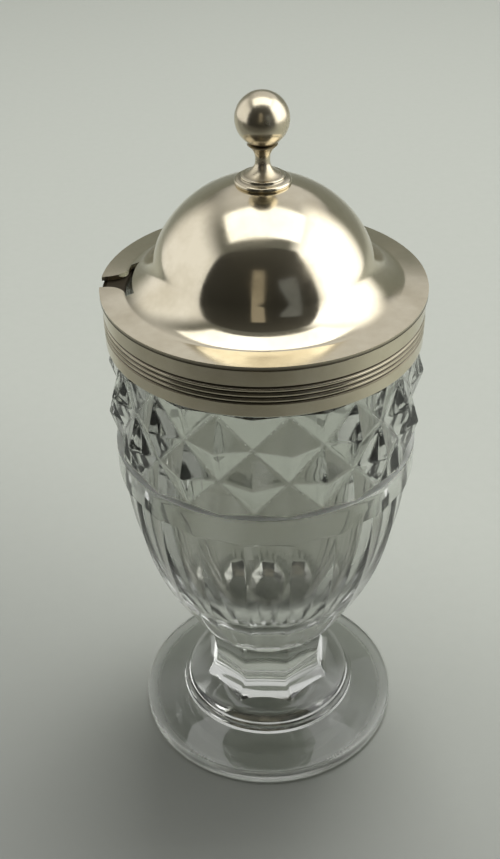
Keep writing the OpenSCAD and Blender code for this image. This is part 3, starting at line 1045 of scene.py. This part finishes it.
@dataclass
class Cover:
    """The cover: flange with its spoon notch, cove and dome raised from one sheet, and bezel."""

    rim_r: float = 26.0
    flange_z: float = 92.95
    flange_fall: float = 0.25
    sheet: float = 0.7
    dome_r: float = 18.1
    dome_z: float = 92.85
    squat: float = 0.95
    crease_r: float = 22.2
    crease_angle: float = 18.0
    notch_r: float = 20.8
    notch_half: float = 1.75
    notch_slit: float = 0.7
    notch_round: float = 3.5
    blend_angle: float = 24.0
    worn: float = 0.14
    bezel_worn: float = 0.15

    def cove(self) -> tuple[float, float, float]:
        """The cove's circle, which leaves the crease at its angle and touches the dome's circle.

        Returns:
            Radius and height of its centre, and its own radius.
        """
        lean = math.radians(self.crease_angle)
        rise = self.flange_z + self.flange_fall - self.dome_z
        cove_r = 0.5 * ((self.crease_r ** 2 + rise ** 2 - self.dome_r ** 2)
                        / (self.dome_r - self.crease_r * math.sin(lean) - rise * math.cos(lean)))
        return (self.crease_r + cove_r * math.sin(lean),
                self.flange_z + self.flange_fall + cove_r * math.cos(lean), cove_r)

    def skin(self, inset: float) -> Array:
        """Profile of the dome and the cove, from the top out to the notch's depth.

        The dome is a circle about its centre and the cove a circle that it runs into. Heights
        above the flange are squatted by one share.

        Args:
            inset: Depth of the skin below the outer face.

        Returns:
            Points as rows of radius and height.
        """
        cove_x, cove_z, cove_r = self.cove()
        lean = math.degrees(math.atan2(cove_z - self.dome_z, cove_x))
        end = 180.0 + math.degrees(math.acos((cove_x - self.notch_r) / (cove_r + inset)))
        line = np.concatenate([
            arc((0.0, self.dome_z), self.dome_r - inset, 90.0, lean, 64),
            arc((cove_x, cove_z), cove_r + inset, 180.0 + lean, end, 20)[1:]])
        height = self.flange_z + (line[:, 1] - self.flange_z) * self.squat
        return np.stack([np.maximum(line[:, 0], 0.0), height], axis=1)

    def flange_height(self, radius: Array, inset: float) -> Array:
        """Height of the flange, which falls to the rim outside and rises into the cove inside.

        Args:
            radius: Radii.
            inset: Depth below the outer face. The underside of the flange is flat.

        Returns:
            Heights.
        """
        cove_x, cove_z, cove_r = self.cove()
        inside = np.clip(cove_x - radius, 0.0, cove_r)
        lift = cove_z - self.flange_z - np.sqrt((cove_r + inset) ** 2 - inside ** 2)
        share = (self.rim_r - radius) / (self.rim_r - self.crease_r)
        outside = -inset if inset else self.flange_fall * share * self.squat
        return self.flange_z + np.where(radius < self.crease_r, lift * self.squat, outside)

    def notch_side(self) -> tuple[Array, Array]:
        """One side of the notch, from its depth round the corner and straight out to the rim.

        Returns:
            Radii, and angles from the notch's middle.
        """
        half = self.notch_half + self.notch_round
        corner_x = self.notch_r + self.notch_slit + self.notch_round
        start_x = math.sqrt(self.notch_r ** 2 - half ** 2)
        end_x = math.sqrt(self.rim_r ** 2 - self.notch_half ** 2)
        line = np.concatenate([
            np.linspace([start_x, half], [corner_x - self.notch_round, half], 4)[:-1],
            arc((corner_x, half), self.notch_round, 180.0, 270.0, 14),
            np.linspace([corner_x, self.notch_half], [end_x, self.notch_half], 4)[1:]])
        return np.hypot(line[:, 0], line[:, 1]), np.arctan2(line[:, 1], line[:, 0])

    def raised(self) -> Thing:
        """Both faces of the sheet and its edges.

        The flange is a grid whose rows run from the notch's depth to the rim. Its first and last
        columns lie on the sides of the notch and blend into plain rays. The inner face has the
        same columns and lies one sheet deeper.

        Returns:
            The piece.
        """
        side_r, side_angle = (part[:, None] for part in self.notch_side())
        plain_r = np.linspace(self.notch_r, self.rim_r, len(side_r))[:, None]
        blend = np.linspace(0.0, 1.0, 11)
        edge = math.radians(self.blend_angle)
        near_angle = side_angle + blend * (edge - side_angle)
        near_r = side_r + blend * (plain_r - side_r)
        far_angle = np.linspace(edge, TURN - edge, 220)[1:-1] + 0.0 * plain_r
        angle = np.concatenate([near_angle, far_angle, TURN - near_angle[:, ::-1]], axis=1)
        radius = np.concatenate([near_r, plain_r + 0.0 * far_angle, near_r[:, ::-1]], axis=1)
        slit = np.linspace(angle[0, -1] - TURN, angle[0, 0], 14)[1:-1]
        around = math.pi + np.concatenate([angle[0], TURN + slit])
        shell = Shell()
        flanges, domes = [], []
        for inset in (0.0, self.sheet):
            height = self.flange_height(radius, inset)
            flanges.append(shell.turned(radius, height, math.pi + angle, closed=False))
            domes.append(shell.spun(self.skin(inset), around)[-1])
        top, low = flanges
        mouth = np.arange(angle.shape[1] - 1, len(around) + 1) % len(around)
        shell.wall(top[-1], low[-1])
        shell.wall(top[:, 0], low[:, 0])
        shell.wall(top[:, -1], low[:, -1])
        shell.wall(domes[0][mouth], domes[1][mouth])
        return shell.made("cover_raised", 40.0)

    def build(self, finishes: Finishes) -> None:
        """Make the cover, duller on its inner face, and the bezel.

        Args:
            finishes: The pot's materials.
        """
        piece = self.raised()
        # Painted shade: the underside near the rim is darkened, where the cover rests on the
        # collar.
        dress(piece, Body.LID, finishes.silver, "lid_cover", lambda p: (
            (p[:, 2] < self.flange_z - 0.5) * bell(reach(p) - self.rim_r, 1.0)))
        piece.data.materials.append(finishes.inner_silver[1])
        normal = np.empty(3 * len(piece.data.polygons))
        piece.data.polygons.foreach_get("normal", normal)
        inner = normal.reshape(-1, 3)[:, 2] < -0.05
        piece.data.polygons.foreach_set("material_index", inner.astype(np.int32))
        soften(piece, self.worn, 3)
        dress_copy("lid_bezel", self.bezel_worn, Body.LID, finishes.inner_silver,
                   "cover_bezel_eased")


@dataclass
class Finial:
    """The finial: stepped foot, spool and ball, drawn down by a stud with washer and nut."""

    bore_r: float = 0.72
    disc_r: float = 4.4
    disc_low: float = 109.534
    disc_t: float = 0.8
    step_r: float = 3.4
    step_t: float = 0.55
    step_round: float = 0.2
    base_r: float = 2.9
    waist_r: float = 1.12
    flare_r: float = 2.3
    spool_h: float = 4.7
    waist_h: float = 2.3
    hollow: float = 2.5
    ball_r: float = 4.1
    ball_seat: float = 0.2
    film: float = 0.02
    worn: float = 0.1

    def foot(self, disc_z: float, step_z: float) -> Array:
        """Profile of the foot: a disc with a rounded edge under a smaller step.

        Args:
            disc_z: Height of the disc's top.
            step_z: Height of the step's top.

        Returns:
            Points as rows of radius and height.
        """
        edge, step = 0.5 * self.disc_t, self.step_round
        return np.concatenate([
            [[self.bore_r, disc_z - 0.29], [self.disc_r - edge - 0.1, self.disc_low + 0.05]],
            arc((self.disc_r - edge, disc_z - edge), edge, -80, 90, 12),
            [[self.step_r + 0.1, disc_z], [self.step_r, disc_z + 0.1]],
            arc((self.step_r - step, step_z - step), step, 0, 90, 6),
            [[self.bore_r, step_z]]])

    def spool(self, low: float, waist_z: float, top_z: float) -> Array:
        """Profile of the spool, with a cup for the ball on top.

        The radius falls to the waist and grows to the flare with a power of the height.

        Args:
            low: Height of its foot.
            waist_z: Height of its waist.
            top_z: Height of its flare.

        Returns:
            Points as rows of radius and height.
        """
        share = np.linspace(0.0, 1.0, 20)
        fall = self.waist_r + (self.base_r - self.waist_r) * (1.0 - share) ** self.hollow
        grow = self.waist_r + (self.flare_r - self.waist_r) * share ** self.hollow
        lower = np.stack([fall, low + (waist_z - low) * share], axis=1)
        upper = np.stack([grow, waist_z + (top_z - waist_z) * share], axis=1)
        touch_r = math.sqrt(self.ball_r ** 2 - (self.ball_r - self.ball_seat) ** 2)
        seat_r = np.linspace(touch_r, self.bore_r, 6)
        ball_z = top_z - self.ball_seat + self.ball_r
        seat_z = ball_z - np.sqrt((self.ball_r + self.film) ** 2 - seat_r ** 2)
        lip = [[self.flare_r, top_z + 0.08], [self.flare_r - 0.1, top_z + 0.14]]
        return np.concatenate([[[self.bore_r, low]], lower, upper[1:], lip,
                               np.stack([seat_r, seat_z], axis=1)])

    def build(self, finishes: Finishes) -> None:
        """Turn the three visible pieces and dress them with the fastening inside.

        Args:
            finishes: The pot's materials.
        """
        disc_z = self.disc_low + self.disc_t
        step_z = disc_z + self.step_t
        foot = lathe("finial_foot_stepped", self.foot(disc_z, step_z), 96, 50.0)
        # Tarnish and painted shade in the corner where the step meets the disc.
        dress(foot, Body.LID, finishes.silver, "finial_foot", lambda p: (
            0.6 * bell(p[:, 2] - disc_z, 0.12) * bell(reach(p) - self.step_r, 0.25)))

        low, top_z = step_z + self.film, step_z + self.spool_h
        profile = self.spool(low, step_z + self.waist_h, top_z)
        spool = lathe("finial_spool_turned", profile, 72, 50.0)
        # Painted shade at the spool's foot on the step and at the flare under the ball.
        dress(spool, Body.LID, finishes.turned, "finial_spool", lambda p: (
            0.35 * bell(p[:, 2] - low, 0.2) + 0.5 * bell(p[:, 2] - top_z, 0.15)))

        ball_z = top_z - self.ball_seat + self.ball_r
        bore = math.degrees(math.asin(self.bore_r / self.ball_r))
        profile = np.concatenate([[[0.0, ball_z], [self.bore_r, ball_z]],
                                  arc((0.0, ball_z), self.ball_r, bore - 90.0, 90.0, 72)])
        profile[-1, 0] = 0.0
        ball = lathe("finial_ball_turned", profile, 128, 60.0, ring=False)
        # Painted shade on the ball's underside, where it sits in the spool's cup.
        dress(ball, Body.LID, finishes.turned, "finial_ball", lambda p: (
            0.5 * bell(p[:, 2] - ball_z + self.ball_r, 0.4)))

        for node in ("finial_washer", "finial_nut"):
            dress_copy(node, self.worn, Body.LID, finishes.inner_silver)
        dress_copy("finial_stud", self.worn, Body.LID, finishes.wire)


def card(name: str, corners: list[Point], material: Material,
         place: Matrix | None = None) -> Thing:
    """A flat card of the light box, which the camera sees only in reflections.

    Args:
        name: Name of the card.
        corners: Its four corners in order.
        material: Its material.
        place: Where it hangs, if the corners don't say so.

    Returns:
        The card.
    """
    mesh = bpy.data.meshes.new(name)
    mesh.from_pydata(corners, [], [(0, 1, 2, 3)])
    mesh.materials.append(material)
    hung = linked(name, mesh)
    if place:
        hung.matrix_world = place
    hung.visible_camera = hung.visible_shadow = False
    return hung


@dataclass(frozen=True)
class Panel:
    """A lit panel of the light box: where it hangs and faces, its size and its brightness."""

    name: str
    place: Point
    target: Point
    size: tuple[float, float]
    brightness: float
    tint: str = "#ffffff"

    def aim(self) -> Matrix:
        """Place and turn that set the panel's own Z away from its target."""
        away = np.subtract(self.place, self.target)
        away = away / np.linalg.norm(away)
        side = np.cross((0.0, 1.0, 0.0) if abs(away[2]) > 0.9 else (0.0, 0.0, 1.0), away)
        side = side / np.linalg.norm(side)
        turn = Matrix(np.stack([side, np.cross(away, side), away], axis=1).tolist())
        return Matrix.Translation(self.place) @ turn.to_4x4()

    def lamp(self) -> Thing:
        """Hang an area lamp whose power is pi times its area times its brightness.

        Returns:
            The hung lamp.
        """
        lamp = bpy.data.lights.new(self.name, "AREA")
        lamp.shape = "RECTANGLE"
        lamp.size, lamp.size_y = self.size
        lamp.energy = math.pi * self.size[0] * self.size[1] * self.brightness
        lamp.color = linear(self.tint)[:3]
        hung = linked(self.name, lamp)
        hung.matrix_world = self.aim()
        hung.visible_camera = False
        return hung

    def window(self) -> None:
        """Hang a glowing card whose light fades out towards its edges. Only mirrors show it."""
        recipe = Recipe(bpy.data.materials.new(f"{self.name}_glow"))
        share = 1.0
        for axis, size in zip("XY", self.size):
            off = recipe.maths("ABSOLUTE", recipe.place(axis))
            fade = recipe.span(off, 0.2 * size, 0.5 * size, 1.0, 0.0, "SMOOTHSTEP")
            share = recipe.maths("MULTIPLY", fade, share)
        glow = recipe.add_node("Emission", "Emission", {
            "Color": linear(self.tint), "Strength": self.brightness})
        x, y = 0.5 * self.size[0], 0.5 * self.size[1]
        hung = card(self.name, [(-x, -y, 0.0), (x, -y, 0.0), (x, y, 0.0), (-x, y, 0.0)],
                    recipe.finish(recipe.see_through(share, None, glow)), self.aim())
        hung.visible_diffuse = False


@dataclass
class LightBox:
    """White-walled light box, open at the front: floor, lit panels, dark front and camera."""

    floor_tone: str = "#b7bab2"
    floor_fleck: str = "#b1b4ac"
    # Painted shade: the floor darkens to this tone towards the front and left.
    floor_painted_shade: str = "#858782"
    floor_painted_shade_slant: Point = (0.55, -0.1, 0.09)
    floor_rough: float = 0.85
    fleck_mm: float = 3.0
    sink: float = -0.03
    flat_r: float = 300.0
    level_r: float = 900.0
    sweep_r: float = 1300.0
    sweep_round: float = 400.0
    wall_h: float = 900.0
    wall_tone: str = "#b7b9b2"
    wall_light: float = 0.36
    # Painted light: far from the pot the floor and wall glow up to this strength.
    far_painted_glow: float = 0.24
    glow_from: float = 0.55
    glow_full: float = 1.4
    front_tone: str = "#2b2a25"
    # Painted shadow on the floor in front, seen only in reflections and through the glass.
    painted_shadow_tone: str = "#53524c"
    painted_shadow_fade: Point = (0.3, -0.23, -0.08)
    front_rough: float = 0.95
    front_left: float = -0.7
    front_right: float = 0.46
    front_y: float = -0.34
    front_h: float = 0.85
    board_y: float = -0.03
    board_z: float = 0.001
    pot: Point = (0.0, 0.0, 0.09)
    eye: Point = (0.0, -0.16864, 0.18249)
    tilt: float = 54.91
    roll: float = -0.010932
    lens: float = 50.055
    lens_shift: float = -0.01814

    def floor(self) -> None:
        """Floor that curves up into a low round wall, a turned profile in millimetres.

        Its paint has a fine fleck and darkens to the front and left, a painted shade. Far from the
        pot it glows with painted light, which brightens the far floor and wall that the lamps
        hardly reach.
        """
        shell = Shell()
        shell.spun(np.concatenate([
            [[0.0, self.sink], [self.flat_r, self.sink], [self.level_r, 0.0]],
            arc((self.sweep_r, self.sweep_round), self.sweep_round, -90, 0, 12),
            [[self.sweep_r + self.sweep_round, self.wall_h]]]), 96)
        sweep = shell.made("floor_sweep", 60.0, closed=False)
        recipe = Recipe(bpy.data.materials.new("matt_painted_board"))
        flecked = recipe.blend(recipe.noise(self.fleck_mm, 6.0, 0.7),
                               self.floor_tone, self.floor_fleck)
        far = recipe.add_node("VectorMath", "Value", {0: recipe.place()}, operation="LENGTH")
        # Base colour: painted shade to the front and left. Emission: painted light far from the
        # pot.
        sweep.data.materials.append(recipe.finish(recipe.shader({
            "Base Color": recipe.blend(recipe.slant(*self.floor_painted_shade_slant), self.floor_painted_shade, flecked),
            "Roughness": self.floor_rough, "Emission Color": linear(self.wall_tone),
            "Emission Strength": recipe.span(far, self.glow_from, self.glow_full,
                                             0.0, self.far_painted_glow, "SMOOTHSTEP")})))

    def world(self) -> None:
        """Even light from the pale walls of the box."""
        recipe = Recipe(bpy.data.worlds.new("pale_walls"))
        glow = recipe.add_node("Background", "Background", {
            "Color": linear(self.wall_tone), "Strength": self.wall_light})
        bpy.context.scene.world = recipe.finish(glow, "OutputWorld")

    def camera(self) -> None:
        """Camera at the photo's angle: height, tilt, slight roll and a framing shift."""
        lens = bpy.data.cameras.new("photo_view")
        lens.sensor_fit = "AUTO"
        lens.sensor_width = 36.0
        lens.lens = self.lens
        lens.shift_x = self.lens_shift
        lens.clip_start = 0.01
        lens.clip_end = 20.0
        camera = linked("photo_view", lens)
        camera.matrix_world = (Matrix.Translation(self.eye)
                               @ Matrix.Rotation(math.radians(self.tilt), 4, "X")
                               @ Matrix.Rotation(self.roll, 4, "Z"))
        bpy.context.scene.camera = camera

    def dark_front(self) -> None:
        """A dark card before the pot, and a painted shadow on the floor that fades to the back and
        right.
        """
        left, right, y = self.front_left, self.front_right, self.front_y
        upright = [(left, y, 0.0), (right, y, 0.0), (right, y, self.front_h),
                   (left, y, self.front_h)]
        z = self.board_z
        lying = [(left, y, z), (right, y, z), (right, self.board_y, z), (left, self.board_y, z)]
        for name, corners, tone in (("front_card", upright, self.front_tone),
                                    ("front_painted_shadow", lying, self.painted_shadow_tone)):
            recipe = Recipe(bpy.data.materials.new(f"{name}_paint"))
            paint = recipe.shader({"Base Color": linear(tone), "Roughness": self.front_rough})
            # Painted shadow: the lying board is a dark sheet that fades out to the back and right.
            if corners is lying:
                paint = recipe.see_through(recipe.slant(*self.painted_shadow_fade), paint, None)
            hung = card(name, corners, recipe.finish(paint))
            hung.visible_diffuse = corners is upright

    def build(self) -> None:
        """Set up the whole light box."""
        bpy.context.scene.view_settings.view_transform = "Standard"
        self.floor()
        self.world()
        self.camera()
        pot = self.pot
        for panel in (
            Panel("ceiling_panel", (0.03, 0.07, 0.95), (0.03, 0.07, 0.0), (1.04, 0.56), 1.9),
            Panel("doorway", (0.16, -0.33, 0.16), pot, (0.12, 0.3), 0.22, "#c9d2da"),
            Panel("lamp_strip", (-0.035, -0.33, 0.18), pot, (0.07, 0.36), 0.38, "#e8dcc4"),
        ):
            panel.lamp()
        key = Panel("key_light", (0.11, 0.27, 0.95), pot, (0.4, 0.4), 13.8).lamp()
        key.visible_glossy = key.visible_transmission = False
        for panel in (
            Panel("right_window", (0.72, -0.02, 0.42), pot, (1.5, 1.5), 2.3),
            Panel("ceiling_back", (0.25, 1.1, 0.97), (0.25, 1.1, 0.0), (2.4, 2.2), 0.75),
            Panel("left_wall", (-0.75, 0.1, 0.32), pot, (1.9, 1.3), 1.05),
        ):
            panel.window()
        self.dark_front()


def main() -> None:
    """Build the pot from the foot up, then the light box around it."""
    logging.basicConfig(level=logging.INFO, format="%(name)s %(message)s")
    finishes = Finishes()
    for part in (GlassBody(), Collar(), Hinge(), Cover(), Finial()):
        part.build(finishes)
    LightBox().build()


if __name__ == "__main__":
    main()
